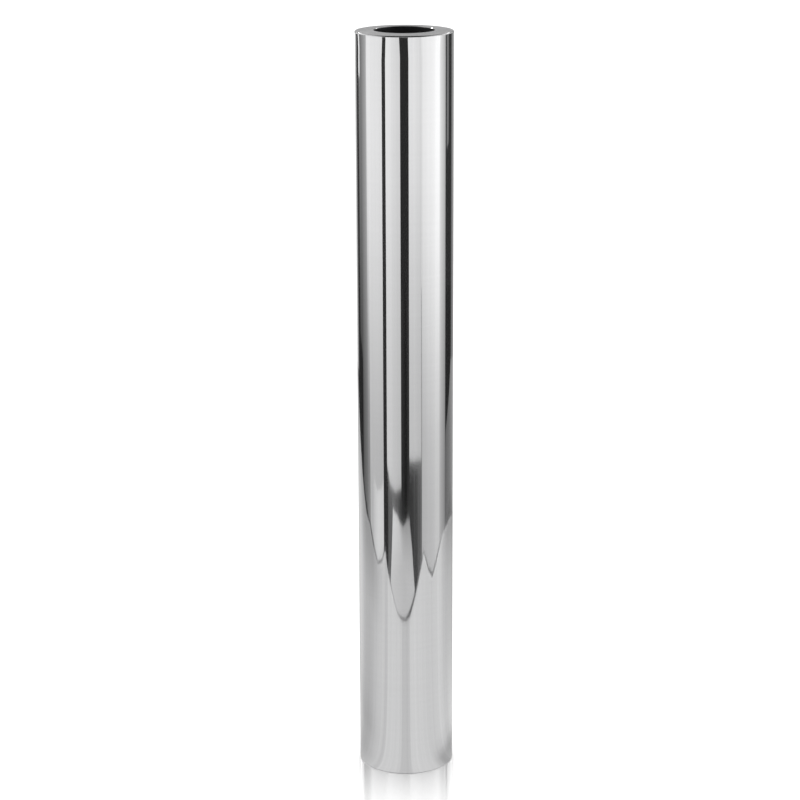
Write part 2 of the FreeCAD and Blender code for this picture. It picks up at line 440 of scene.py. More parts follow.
def group(name, fill, inputs, outputs):
    """A node group with a vector and numbers going in, and numbers coming out.

    fill(tree, inputs, give) makes what is in it.
    """
    tree = bpy.data.node_groups.new(name, "ShaderNodeTree")
    tree.interface.new_socket("Vector", in_out="INPUT", socket_type="NodeSocketVector")
    for title, default in inputs.items():
        socket = tree.interface.new_socket(title, in_out="INPUT", socket_type="NodeSocketFloat")
        socket.default_value = default
    for title in outputs:
        tree.interface.new_socket(title, in_out="OUTPUT", socket_type="NodeSocketFloat")
    source = tree.nodes.new("NodeGroupInput")
    sink = tree.nodes.new("NodeGroupOutput")
    fill(tree, source.outputs, lambda title, socket: tree.links.new(socket, sink.inputs[title]))
    return tree


def use(tree, group_tree, values=None):
    """A node that places a group, with its sockets by name."""
    return node(tree, "ShaderNodeGroup", values, node_tree=group_tree).outputs


def fill_lines(tree, given, give):
    """Fine machining lines: noise packed close across the lines and stretched long along them."""
    parts = parts_of(tree, given["Vector"])
    packed = times(tree, given["Across"], given["Density"])
    drifted = [times(tree, parts[k], given["Drift"]) for k in (0, 1)]
    give("Lines", noise(tree, vector_of(tree, *drifted, packed), 1.0, 5.0, 0.65))
    wide = vector_of(tree, parts[0], parts[1], times(tree, packed, 0.04))
    give("Bands", noise(tree, wide, 1.0, 2.0, 0.5))


def cloth_haze(tree, vector):
    """Soft blotches that wiping leaves."""
    return spread(tree, noise(tree, vector, 9.0, 4.0, 0.6), 0.38, 0.68)


def fill_polish(tree, given, give):
    """A mirror polish: fine scratches round the tube, faint bands, and long soft waves.

    The waves grow stronger above End, where welding the top has drawn the wall.
    """
    parts = parts_of(tree, given["Vector"])

    def layers(round_scale, height_scale, detail):
        """Noise in layers along the height, drawn out round the tube."""
        scaled = [times(tree, parts[k], round_scale) for k in (0, 1)]
        scaled.append(times(tree, given["Height"], height_scale))
        return noise(tree, vector_of(tree, *scaled), 1.0, detail, 0.6)

    scratches = spread(tree, layers(9.0, 20000.0, 1.0), 0.50, 0.75)
    haze = cloth_haze(tree, given["Vector"])
    give("Roughness", times(tree, scratches, 0.04, times(tree, haze, 0.015, 0.025)))
    give("Tone", layers(6.0, 300.0, 4.0))
    at_end = spread(tree, given["Height"], given["End"], maths(tree, "ADD", given["End"], 0.022), 0.0, 8.0)
    give("Waves", times(tree, layers(30.0, 20.0, 0.0), at_end, layers(14.0, 5.0, 1.0)))


def fill_handling(tree, given, give):
    """Handling marks: soft blotches of haze."""
    give("Haze", cloth_haze(tree, given["Vector"]))


def fill_spangle(tree, given, give):
    """Zinc crystals: cells of random tone with dark seams, under a broad stain."""
    values = {"Vector": given["Vector"], "Scale": given["Scale"]}
    cells = node(tree, "ShaderNodeTexVoronoi", values)
    tone = node(tree, "ShaderNodeSeparateColor", {0: cells.outputs["Color"]}).outputs[0]
    edges = node(tree, "ShaderNodeTexVoronoi", values, feature="DISTANCE_TO_EDGE")
    give("Tone", tone)
    give("Seams", spread(tree, edges.outputs[0], 0.0, 0.06, 1.0, 0.0))
    give("Stain", spread(tree, noise(tree, given["Vector"], 14.0, 5.0, 0.6), 0.35, 0.7))


def fill_grain(tree, given, give):
    """Moulded grain: a fine pitted noise, and soft flow marks."""
    give("Pits", spread(tree, noise(tree, given["Vector"], given["Scale"], 3.0, 0.6), 0.3, 0.7))
    flow = node(tree, "ShaderNodeMapping", {0: given["Vector"], "Scale": (18, 18, 60)})
    give("Flow", noise(tree, flow.outputs[0], 1.0, 3.0, 0.55))


def shared_groups():
    """The node groups that the finishes share, made once."""
    lines = {"Across": 0.0, "Density": 3000.0, "Drift": 6.0}
    polish = {"Height": 0.0, "End": 1.0}
    return {
        "lines": group("machining lines", fill_lines, lines, ("Lines", "Bands")),
        "polish": group("mirror polish", fill_polish, polish, ("Roughness", "Tone", "Waves")),
        "handling": group("handling marks", fill_handling, {}, ("Haze",)),
        "spangle": group("zinc spangle", fill_spangle, {"Scale": 110.0}, ("Tone", "Seams", "Stain")),
        "grain": group("moulded grain", fill_grain, {"Scale": 1800.0}, ("Pits", "Flow")),
    }


def fresh_tree(holder):
    """An empty node tree on a material or a world."""
    holder.use_nodes = True
    holder.node_tree.nodes.clear()
    return holder.node_tree


def material(name, values=None):
    """A new material's tree, its shader with those values set, and the piece's own coordinates."""
    tree = fresh_tree(bpy.data.materials.new(LOOK + name))
    shader = node(tree, "ShaderNodeBsdfPrincipled", values)
    output = tree.nodes.new("ShaderNodeOutputMaterial")
    tree.links.new(shader.outputs[0], output.inputs[0])
    return tree, shader, tree.nodes.new("ShaderNodeTexCoord").outputs["Object"]


def bump(tree, shader, height, strength, distance):
    """Links a height to the shader's normal through a Bump node."""
    made = node(tree, "ShaderNodeBump", {"Height": height, "Strength": strength, "Distance": distance})
    tree.links.new(made.outputs[0], shader.inputs["Normal"])


def shade(tree, shader, base, rough):
    """Links a colour and a roughness to the shader."""
    tree.links.new(base, shader.inputs["Base Color"])
    tree.links.new(rough, shader.inputs["Roughness"])


def radius_and_height(tree, place):
    """Distance from the bollard's axis and height, from the piece's own coordinates."""
    parts = parts_of(tree, place)
    flat = vector_of(tree, parts[0], parts[1], 0.0)
    return node(tree, "ShaderNodeVectorMath", {0: flat}, operation="LENGTH").outputs["Value"], parts[2]


def opaque(rgb, factor=1.0):
    """A colour with full alpha, made lighter or darker by a factor."""
    return tuple(min(1.0, channel * factor) for channel in rgb) + (1.0,)


def toned(tree, factor, base, dark, light):
    """A colour between its darker and its lighter tone, by a factor."""
    return blend_colour(tree, factor, opaque(base, dark), opaque(base, light))


def polished_steel(groups, base, mid_wall, end):
    """Mirror polish with faint lines round the tube, and a plain mill finish inside mid_wall.

    The polish waves more above the height end.
    """
    values = {"Metallic": 1.0, "Anisotropic": 0.9, "Anisotropic Rotation": 0.25}
    values |= {"Coat Weight": COAT, "Coat Roughness": COAT_ROUGHNESS}
    tree, shader, place = material("polished_stainless", values)
    radius, height = radius_and_height(tree, place)
    polish = use(tree, groups["polish"], {"Vector": place, "Height": height, "End": end})
    inside = spread(tree, radius, mid_wall - 0.1 * MM, mid_wall + 0.1 * MM, 1.0, 0.0)
    bright = toned(tree, polish["Tone"], base, *POLISH_TONES)
    shade(
        tree,
        shader,
        blend_colour(tree, inside, bright, opaque(base, 0.62)),
        maths(tree, "MAXIMUM", polish["Roughness"], times(tree, inside, 0.36)),
    )
    bump(tree, shader, polish["Waves"], 1.0, WAVE_HEIGHT)


def satin_steel(groups, base, shiny, bore, mouth, rim, end):
    """A turned satin face with rings about the axis, a polished rim and bevel, and a rough bore whose
    near-black colour is painted shade for the dark inside of the mouth.

    mouth and rim are the radii between which the face is satin.
    """
    values = {"Metallic": 1.0, "Anisotropic": 0.6, "Anisotropic Rotation": 0.25}
    tree, shader, place = material("satin_stainless", values | {"Coat Roughness": COAT_ROUGHNESS})
    radius, height = radius_and_height(tree, place)
    lines = use(tree, groups["lines"], {"Vector": place, "Across": radius, "Density": 3400.0, "Drift": 10.0})
    marks = use(tree, groups["handling"], {"Vector": place})
    polish = use(tree, groups["polish"], {"Vector": place, "Height": height, "End": end})
    tone = times(tree, lines["Lines"], 0.7, times(tree, lines["Bands"], 0.3))
    face = toned(tree, tone, base, 0.88, 1.1)
    bright = toned(tree, polish["Tone"], shiny, *POLISH_TONES)
    # The bore's near-black colour is painted shade for the dark inside of the mouth; only its higher
    # roughness belongs to the steel.
    in_shaded_bore = spread(tree, radius, mouth + 0.02 * MM, mouth + 0.12 * MM, 1.0, 0.0)
    on_rim = spread(tree, radius, rim - 0.1 * MM, rim + 0.2 * MM)
    on_bevel = spread(tree, radius, mouth + 0.55 * MM, mouth + 0.7 * MM, 1.0, 0.0)
    satin = times(tree, marks["Haze"], 0.06, times(tree, lines["Lines"], 0.1, 0.26))
    rough = spread(tree, on_bevel, 0.0, 1.0, satin, 0.08)
    rough = spread(tree, on_rim, 0.0, 1.0, rough, polish["Roughness"])
    rough = maths(tree, "MAXIMUM", rough, times(tree, in_shaded_bore, 0.42))
    outer = blend_colour(tree, on_rim, face, bright)
    # Painted shade: inside the mouth the colour turns to the near-black bore colour.
    shade(tree, shader, blend_colour(tree, in_shaded_bore, outer, opaque(bore)), rough)
    tree.links.new(times(tree, on_rim, COAT), shader.inputs["Coat Weight"])
    not_shiny = maths(tree, "SUBTRACT", 1.0, maths(tree, "MAXIMUM", on_rim, on_bevel))
    fine = times(tree, times(tree, lines["Lines"], 0.06), not_shiny)
    bump(tree, shader, times(tree, polish["Waves"], on_rim, fine), 1.0, WAVE_HEIGHT)


def galvanised_steel(groups, base):
    """A dull zinc coat with crystals and stains."""
    tree, shader, place = material("galvanised_steel", {"Metallic": 1.0})
    zinc = use(tree, groups["spangle"], {"Vector": place, "Scale": 95.0})
    crystal = toned(tree, zinc["Tone"], base, 0.8, 1.25)
    stained = blend_colour(tree, times(tree, zinc["Stain"], 0.5), crystal, opaque(base, 0.62))
    seamed = blend_colour(tree, times(tree, zinc["Seams"], 0.35), stained, opaque(base, 0.5))
    rough = times(tree, zinc["Tone"], 0.16, times(tree, zinc["Stain"], 0.12, 0.34))
    shade(tree, shader, seamed, rough)
    bump(tree, shader, maths(tree, "SUBTRACT", zinc["Tone"], zinc["Seams"]), 0.25, 0.00008)


def plated_steel(groups, name, base, roughness):
    """Small bright hardware: fine tumbling marks and slight dulling."""
    tree, shader, place = material(name, {"Metallic": 1.0})
    marks = use(tree, groups["handling"], {"Vector": place})
    speck = noise(tree, place, 1400.0, 3.0, 0.6)
    worn = toned(tree, speck, base, 0.82, 1.12)
    shade(tree, shader, worn, times(tree, marks["Haze"], 0.12, roughness))
    bump(tree, shader, speck, 0.15, 0.00003)


def weld_metal(groups, base):
    """Weld beads: rippled metal, browned by heat."""
    tree, shader, place = material("weld_metal", {"Metallic": 1.0})
    zinc = use(tree, groups["spangle"], {"Vector": place, "Scale": 300.0})
    burnt = blend_colour(tree, zinc["Stain"], opaque(base), opaque((0.42, 0.38, 0.33)))
    shade(tree, shader, burnt, times(tree, zinc["Tone"], 0.15, 0.32))
    bump(tree, shader, zinc["Tone"], 0.2, 0.00006)


def moulded(groups, name, base, roughness, grain_scale, dust):
    """Rubber or nylon: a pitted moulded skin with flow marks and a little dust."""
    tree, shader, place = material(name)
    grain = use(tree, groups["grain"], {"Vector": place, "Scale": grain_scale})
    body = toned(tree, grain["Flow"], base, 0.88, 1.1)
    dusty = blend_colour(tree, times(tree, grain["Pits"], dust), body, opaque((0.3, 0.29, 0.27)))
    shade(tree, shader, dusty, times(tree, grain["Pits"], 0.14, roughness))
    bump(tree, shader, grain["Pits"], 0.3, 0.00004)


def make_finishes():
    """Every finish by its slot in the record, made once for all the operators."""
    if LOOK + FINISHES[0] in bpy.data.materials:
        return {name: bpy.data.materials[LOOK + name] for name in FINISHES}
    tints = bpy.context.scene.bollard_colours
    sizes = bpy.context.scene.bollard_sizes
    groups = shared_groups()
    mouth = mount("mouth_bore")["dims"]["r_mm"] * MM
    rim = outer_radius("top_collar") - sizes.rim_radius
    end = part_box("top_collar")[0][2] - DRAWN_LENGTH
    polished_steel(groups, tints.polished, outer_radius("outer_sleeve") - sizes.sleeve_wall / 2, end)
    satin_steel(groups, tints.satin, tints.polished, tints.bore, mouth, rim, end)
    galvanised_steel(groups, tints.zinc)
    plated_steel(groups, "zinc_screws", tints.bright_zinc, 0.22)
    plated_steel(groups, "steel_screws", tints.plain_steel, 0.28)
    weld_metal(groups, tints.weld)
    moulded(groups, "black_rubber", tints.rubber, 0.62, 1500.0, 0.10)
    moulded(groups, "natural_nylon", tints.nylon, 0.42, 2200.0, 0.05)
    return {name: bpy.data.materials[LOOK + name] for name in FINISHES}


def finish(piece, slot, body=None, stands_for=(), finish_name=None):
    """Gives a piece its finish and slot, and makes it ride on a body in place of CAD nodes."""
    piece.data.materials.clear()
    piece.data.materials.append(make_finishes()[finish_name or slot])
    if body:
        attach(piece, body)
    if stands_for:
        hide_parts(*stands_for)


def dress(name):
    """Gives a CAD node the finish of its slot in the record."""
    piece = frame["nodes"][name]
    part = next(part for part in frame["record"]["subparts"] if part["node"] == name)
    look = make_finishes()[part["material_slot"]]
    if piece.material_slots:
        for holder in piece.material_slots:
            holder.link = "OBJECT"
            holder.material = look
    else:
        piece.data.materials.append(look)


# Operators


def unroll(radius):
    """Functions that lay a cylinder's wall flat, as (arc, height), and wrap it back."""

    def flat(points):
        return np.stack([np.arctan2(points[:, 1], points[:, 0]) * radius, points[:, 2]], axis=-1)

    def wrap(laid):
        return polar(radius, laid[:, 0] / radius, laid[:, 1])

    return flat, wrap


def level_plane(height):
    """Functions that drop a level face's height, and put it back."""

    def flat(points):
        return points[:, :2]

    def wrap(laid):
        return np.concatenate([laid, np.full((len(laid), 1), height)], axis=1)

    return flat, wrap


def turned_tube(name, node_name, inner, edges, columns, slot, body):
    """A node's tube, turned from its inner radius and its box. edges are its foot's and top's roundings."""
    low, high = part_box(node_name)
    corners = tube_corners(inner, outer_radius(node_name), low[2], high[2], *edges)
    finish(turned_ring(name, corners, columns), slot, body, [node_name])


class BOLLARD_OT_sleeve(bpy.types.Operator):
    """The polished tube, with its two set screw holes at the back"""

    bl_idname = "bollard.sleeve"
    bl_label = "Sleeve"

    def execute(self, context):
        sizes = context.scene.bollard_sizes
        low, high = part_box("outer_sleeve")
        radius = outer_radius("outer_sleeve")
        bore = radius - sizes.sleeve_wall
        hole = sizes.set_screw_diameter / 2 + FIT
        level = sum(corner[2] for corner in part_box("set_screws")) / 2
        half = 6
        near = np.arange(-half, half + 1) * MM + level
        below = np.linspace(low[2] + 2 * MM, near[0], 8)[:-1]
        above = np.linspace(near[-1], high[2] - MM, 44)[1:]
        walls = np.concatenate([below, near, above])
        ends = rounded(tube_corners(bore, radius, low[2], high[2], sizes.foot_edge, 0.0))
        foot = len(ends) // 2 - 1
        outside = np.stack([np.full_like(walls, radius), walls], axis=-1)
        inside = np.stack([np.full_like(walls, bore), walls[::-1]], axis=-1)
        profile = np.concatenate([ends[:foot], outside, ends[foot : foot + 2], inside, ends[foot + 2 :]])
        outer_row = foot + len(below) + half
        inner_row = foot + len(walls) + 2 + len(above) + half
        two_walls = ((outer_row, 1, *unroll(radius)), (inner_row, -1, *unroll(bore)))
        holes = [(round(side * sizes.columns / 360), half, half, hole, two_walls) for side in SET_SCREW_SIDES]
        piece = holed_ring("polished_sleeve", profile, sizes.columns, holes)
        finish(piece, "polished_stainless", "sleeve", ["outer_sleeve"])
        return {"FINISHED"}


class BOLLARD_OT_top_collar(bpy.types.Operator):
    """The satin top ring with its rounded rim, and the locating ring under it"""

    bl_idname = "bollard.top_collar"
    bl_label = "Top collar"

    def execute(self, context):
        sizes = context.scene.bollard_sizes
        low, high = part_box("top_collar")
        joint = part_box("outer_sleeve")[1][2]
        radius = outer_radius("top_collar")
        spigot = radius - sizes.sleeve_wall - FIT
        mouth = mount("mouth_bore")["dims"]["r_mm"] * MM
        bevel = sizes.mouth_bevel
        corners = [
            (spigot, low[2], CUT_EDGE),
            (spigot, joint, 0.0),
            (radius, joint, 0.0),
            (radius, high[2] - sizes.rim_drop, sizes.rim_radius),
            (mouth + bevel, high[2], 0.12 * MM),
            (mouth, high[2] - bevel, 0.12 * MM),
            (mouth, low[2], 0.2 * MM),
        ]
        ring = turned_ring("satin_top_ring", corners, sizes.columns, steps=10)
        finish(ring, "satin_stainless", "sleeve", ["top_collar"])
        inner = outer_radius("locating_ring") - sizes.ring_wall
        edges = 0.8 * MM, 0.1 * MM
        name, node_name = "satin_locating_ring", "locating_ring"
        turned_tube(name, node_name, inner, edges, sizes.columns // 2, "satin_stainless", "sleeve")
        dress("set_screw_bosses")
        return {"FINISHED"}


class BOLLARD_OT_core(bpy.types.Operator):
    """The core pipe, foot collar and gasket, turned, and the foot plate and pad with their holes"""

    bl_idname = "bollard.core"
    bl_label = "Core"

    def execute(self, context):
        sizes = context.scene.bollard_sizes
        columns = sizes.columns
        radius = outer_radius("core_pipe")
        bore = radius - sizes.core_wall
        cut = CUT_EDGE, CUT_EDGE
        turned_tube("galvanised_pipe", "core_pipe", bore, cut, columns, "galvanised_steel", "core")
        name, turned = "galvanised_foot_collar", (CUT_EDGE, 0.8 * MM)
        turned_tube(name, "foot_collar", radius + FIT, turned, columns, "galvanised_steel", "core")
        turned_tube("rubber_gasket", "top_gasket", bore, cut, columns // 2, "black_rubber", "core")
        hole = mount("anchor_holes")["dims"]["hole_r_mm"] * MM
        plate = self.foot_disc("galvanised_foot_plate", "base_plate", sizes, hole, sizes.plate_chamfer)
        finish(plate, "galvanised_steel", "core", ["base_plate"])
        pad = self.foot_disc("rubber_foot_pad", "foot_pad", sizes, hole + sizes.pad_allowance, CUT_EDGE)
        finish(pad, "black_rubber", "core", ["foot_pad"])
        return {"FINISHED"}

    def foot_disc(self, name, node_name, sizes, hole, chamfer):
        """A round plate with a drain in the middle and anchor holes round it.

        Its profile runs out along the underside, up the chamfered edge and back in along the top. The
        holes lie in the part of both faces where the rows are a millimetre apart.
        """
        low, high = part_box(node_name)
        radius = outer_radius(node_name)
        anchors = mount("anchor_holes")["dims"]
        circle = anchors["pcd_mm"] * MM / 2
        half = 9
        near_holes = circle + np.arange(-half, half + 1) * MM
        rows = np.concatenate([[sizes.drain_radius], near_holes, [radius - chamfer]])
        under = np.stack([rows, np.full_like(rows, low[2])], axis=-1)
        over = np.stack([rows[::-1], np.full_like(rows, high[2])], axis=-1)
        edge = np.array([(radius, low[2] + chamfer), (radius, high[2] - chamfer)])
        profile = np.concatenate([under, edge, over])
        under_row, over_row = 1 + half, len(under) + 2 + 1 + half
        faces = ((under_row, 1, *level_plane(low[2])), (over_row, -1, *level_plane(high[2])))
        columns = sizes.columns
        quarter = columns // anchors["count"]
        window = round(36 * columns / 360)
        holes = [(quarter // 2 + quarter * k, half, window, hole, faces) for k in range(anchors["count"])]
        return holed_ring(name, profile, columns, holes)


class BOLLARD_OT_spacers(bpy.types.Operator):
    """The moulded spacer halves on the core"""

    bl_idname = "bollard.spacers"
    bl_label = "Spacers"

    def execute(self, context):
        sizes = context.scene.bollard_sizes
        for name in sorted(frame["nodes"]):
            if name.endswith(("_back", "_front")):
                piece = self.half_spacer("moulded_" + name, name, sizes, 1 if name.endswith("_back") else -1)
                finish(piece, "natural_nylon", "core", [name])
        return {"FINISHED"}

    def half_spacer(self, name, node_name, sizes, side):
        """One half of a spacer, as a section at each angle carried round from one split face to the other.

        The outline's radius is the greatest of the band's, the two runners' and the two flanges'. A
        runner's side lies at half its width over the sine of the angle from its middle, and a flange's
        face at its thickness over the sine of the angle. The lead-in cones at both ends hold it down.
        """
        low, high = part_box(node_name)
        bottom, length = low[2], high[2] - low[2]
        reach = (high[0] - low[0]) / 2
        inner = outer_radius("core_pipe") + FIT
        band = outer_radius("core_pipe") + sizes.spacer_band
        split = min(abs(low[1]), abs(high[1]))
        flange = split + sizes.flange_thickness
        angle = np.linspace(0, math.pi, 721)
        outline = np.full_like(angle, band)
        for middle in np.radians(RUNNER_SIDES):
            turn = np.abs(angle - middle)
            side_wall = sizes.runner_width / 2 / np.maximum(np.sin(turn), 1e-6)
            outline = np.maximum(outline, np.where(turn < 0.2, side_wall, 0))
        outline = np.maximum(outline, flange / np.maximum(np.sin(angle), 1e-6) * (np.sin(angle) < 0.2))
        outline = np.minimum(outline, reach)
        soft = sizes.moulded_edge
        lead = sizes.spacer_lead_in
        steps = np.array([soft, lead, lead + soft, length - lead - soft, length - lead, length - soft])
        cone = reach - np.maximum(0, lead - np.minimum(steps, length - steps))
        wall = np.minimum(outline[:, None], cone[None])
        ends = np.minimum(outline, reach - lead + soft)[:, None] - soft
        near = np.full((len(angle), 1), inner)
        radius = np.concatenate([near + soft, ends, wall, ends, near + soft, near, near], axis=1)
        height = np.concatenate([[0, 0], steps, [length, length, length - soft, soft]]) + bottom
        x = radius * np.cos(angle)[:, None]
        y = np.maximum(radius * np.sin(angle)[:, None], split)
        points = np.stack([side * x, side * y, 0 * x + height], axis=-1)
        rows, columns = radius.shape
        first = np.arange(columns)
        caps = np.stack([first[::-1], first + (rows - 1) * columns])
        return new_mesh(name, points, quads(rows, columns, False, True), caps)


class BOLLARD_OT_fasteners(bpy.types.Operator):
    """Threaded set screws, clamp screws and nuts"""

    bl_idname = "bollard.fasteners"
    bl_label = "Fasteners"

    THREAD_STEPS = 8
    COLUMNS = 36

    def execute(self, context):
        sizes = context.scene.bollard_sizes
        self.make_set_screws(sizes)
        self.make_clamps(sizes)
        return {"FINISHED"}

    def threaded(self, radius, start, end, pitch):
        """Rings along a thread from start to end, faded out at both ends."""
        depth = THREAD_DEPTH * pitch
        along = np.linspace(start, end, int((end - start) / pitch * self.THREAD_STEPS) + 1)
        fade = np.clip(np.minimum(along - start, end - along) / pitch, 0, 1)[:, None]
        turns = round_steps(self.COLUMNS)[None]
        cut = thread(turns, along[:, None], pitch, depth) * fade + (1 - fade) * depth
        return list(zip(along, radius - cut))

    def socket(self, top, flats, depth, inward):
        """Rings from a flat end into a hexagon socket with a coned floor."""
        hexed = hexagon(round_steps(self.COLUMNS), flats)
        return [
            (top, hexed + CUT_EDGE),
            (top + inward * 0.2 * MM, hexed),
            (top + inward * depth, hexed),
            (top + inward * (depth + 0.4 * MM), hexed * 0.5),
        ]

    def make_set_screws(self, sizes):
        low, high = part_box("set_screws")
        radius = sizes.set_screw_diameter / 2
        outer = outer_radius("outer_sleeve") - 0.4 * MM
        tip = outer_radius("foot_collar") + SET_SCREW_GAP
        length = outer - tip
        rings = [(0.0, radius * 0.55), (0.9 * MM, radius * 0.8)]
        rings += self.threaded(radius, 0.9 * MM, length - 0.4 * MM, sizes.set_screw_pitch)
        rings += [(length, radius - 0.7 * MM)]
        rings += self.socket(length, sizes.socket_flats, 3.2 * MM, -1)
        level = Vector((0, 0, (low[2] + high[2]) / 2))
        places = []
        for side in np.radians(SET_SCREW_SIDES):
            outward = Vector((math.cos(side), math.sin(side), 0))
            pointed = outward.to_track_quat("Z", "Y").to_matrix().to_4x4()
            places.append(Matrix.Translation(outward * tip + level) @ pointed)
        screws = new_mesh("threaded_set_screws", *copies(shaft(rings, self.COLUMNS), places))
        finish(screws, "steel_screws", "sleeve", ["set_screws"])

    def make_clamps(self, sizes):
        low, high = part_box("spacer_clamp_screws")
        radius = sizes.clamp_diameter / 2
        head = sizes.clamp_head_diameter / 2
        shank = sizes.clamp_head
        reach = (high[0] - low[0]) / 2 - head
        length = high[1] - low[1]
        knurl = head - 0.12 * MM * (np.arange(self.COLUMNS) % 2)
        rings = self.socket(0.0, sizes.socket_flats, 2.5 * MM, 1)[::-1]
        rings += [(0.0, head - 0.4 * MM), (0.4 * MM, knurl)]
        rings += [(shank - 0.3 * MM, knurl), (shank, head - 0.2 * MM)]
        rings += [(shank, radius), (shank + 4 * MM, radius)]
        rings += self.threaded(radius, shank + 4 * MM, length - 0.3 * MM, sizes.clamp_pitch)
        rings += [(length, radius * 0.75)]
        nut_low, nut_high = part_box("spacer_clamp_nuts")
        halves = [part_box(name) for name in frame["nodes"] if name.endswith("_back")]
        levels = [(bottom[2] + top[2]) / 2 for bottom, top in halves]
        spots = [(side * reach, level) for level in sorted(levels) for side in (-1, 1)]
        lay = Matrix.Rotation(-math.pi / 2, 4, "X")
        heads = [Matrix.Translation((x, low[1], z)) @ lay for x, z in spots]
        seats = [Matrix.Translation((x, nut_low[1], z)) @ lay for x, z in spots]
        nut = self.nut(radius, sizes.nut_flats, nut_high[1] - nut_low[1])
        screws = new_mesh("threaded_clamp_screws", *copies(shaft(rings, self.COLUMNS), heads))
        finish(screws, "zinc_screws", "core", ["spacer_clamp_screws"])
        nuts = new_mesh("chamfered_clamp_nuts", *copies(nut, seats))
        finish(nuts, "zinc_screws", "core", ["spacer_clamp_nuts"])

    def nut(self, radius, flats, thickness):
        """A hexagon nut as a closed ring: a hexagon whose corners are cut by cones, round a plain bore."""
        angle = round_steps(self.COLUMNS)
        hexed = hexagon(angle, flats)
        face = np.minimum(hexed, flats / 2 * 0.97)
        drop = (hexed - face) * 0.5
        bore = np.full(self.COLUMNS, radius + FIT)
        low, high, edge = 0 * angle, 0 * angle + thickness, 0 * angle + CUT_EDGE
        radii = np.stack([bore + edge, face, hexed, hexed, face, bore + edge, bore, bore])
        heights = np.stack([low, low, drop, high - drop, high, high, high - edge, edge])
        points = polar(radii, angle, heights).reshape(-1, 3)
        return points, quads(len(radii), self.COLUMNS, True, True), np.zeros((0, 3), int)


class BOLLARD_OT_welds(bpy.types.Operator):
    """Weld beads at the foot of the core and under the top collar"""

    bl_idname = "bollard.welds"
    bl_label = "Welds"

    COLUMNS = 720
    RIPPLES = 150

    def execute(self, context):
        leg = context.scene.bollard_sizes.weld_leg
        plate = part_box("base_plate")[1][2]
        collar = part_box("foot_collar")[1][2]
        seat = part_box("top_collar")[0][2]
        beads = (
            ("weld_foot_collar", outer_radius("foot_collar"), plate, 1, "core"),
            ("weld_core_pipe", outer_radius("core_pipe"), collar, 1, "core"),
            ("weld_locating_ring", outer_radius("locating_ring"), seat, -1, "sleeve"),
        )
        for name, radius, height, upward, body in beads:
            piece = self.bead(name, radius, height, leg, upward)
            finish(piece, "galvanised_steel", body, finish_name="weld_metal")
        return {"FINISHED"}

    def bead(self, name, radius, height, leg, upward):
        """A fillet bead: a bulged triangle carried round the axis, swelling and leaning with each ripple.

        The face bulges by a sine across its width, and its reach grows by a rounded wave of the angle.
        """
        angle = round_steps(self.COLUMNS)
        across = np.linspace(0, 1, 9)[:, None]
        beat = (angle * self.RIPPLES / TURN + 0.25 * np.sin(np.pi * across)) % 1.0
        wander = 0.04 * np.sin(7 * angle) + 0.03 * np.sin(19 * angle + 1)
        size = leg * (0.88 + wander + 0.06 * np.sqrt(1 - (2 * beat - 1) ** 2))
        bulge = 0.16 * np.sin(np.pi * across)
        out = radius + size * ((1 - across) + bulge) * 0.92
        up = height + upward * size * (across + bulge)
        root = polar(radius - 0.02 * MM, angle, height)
        points = np.concatenate([root[None], polar(out, angle, up)])
        return new_mesh(name, points, quads(len(points), self.COLUMNS, True, True))


# Stage

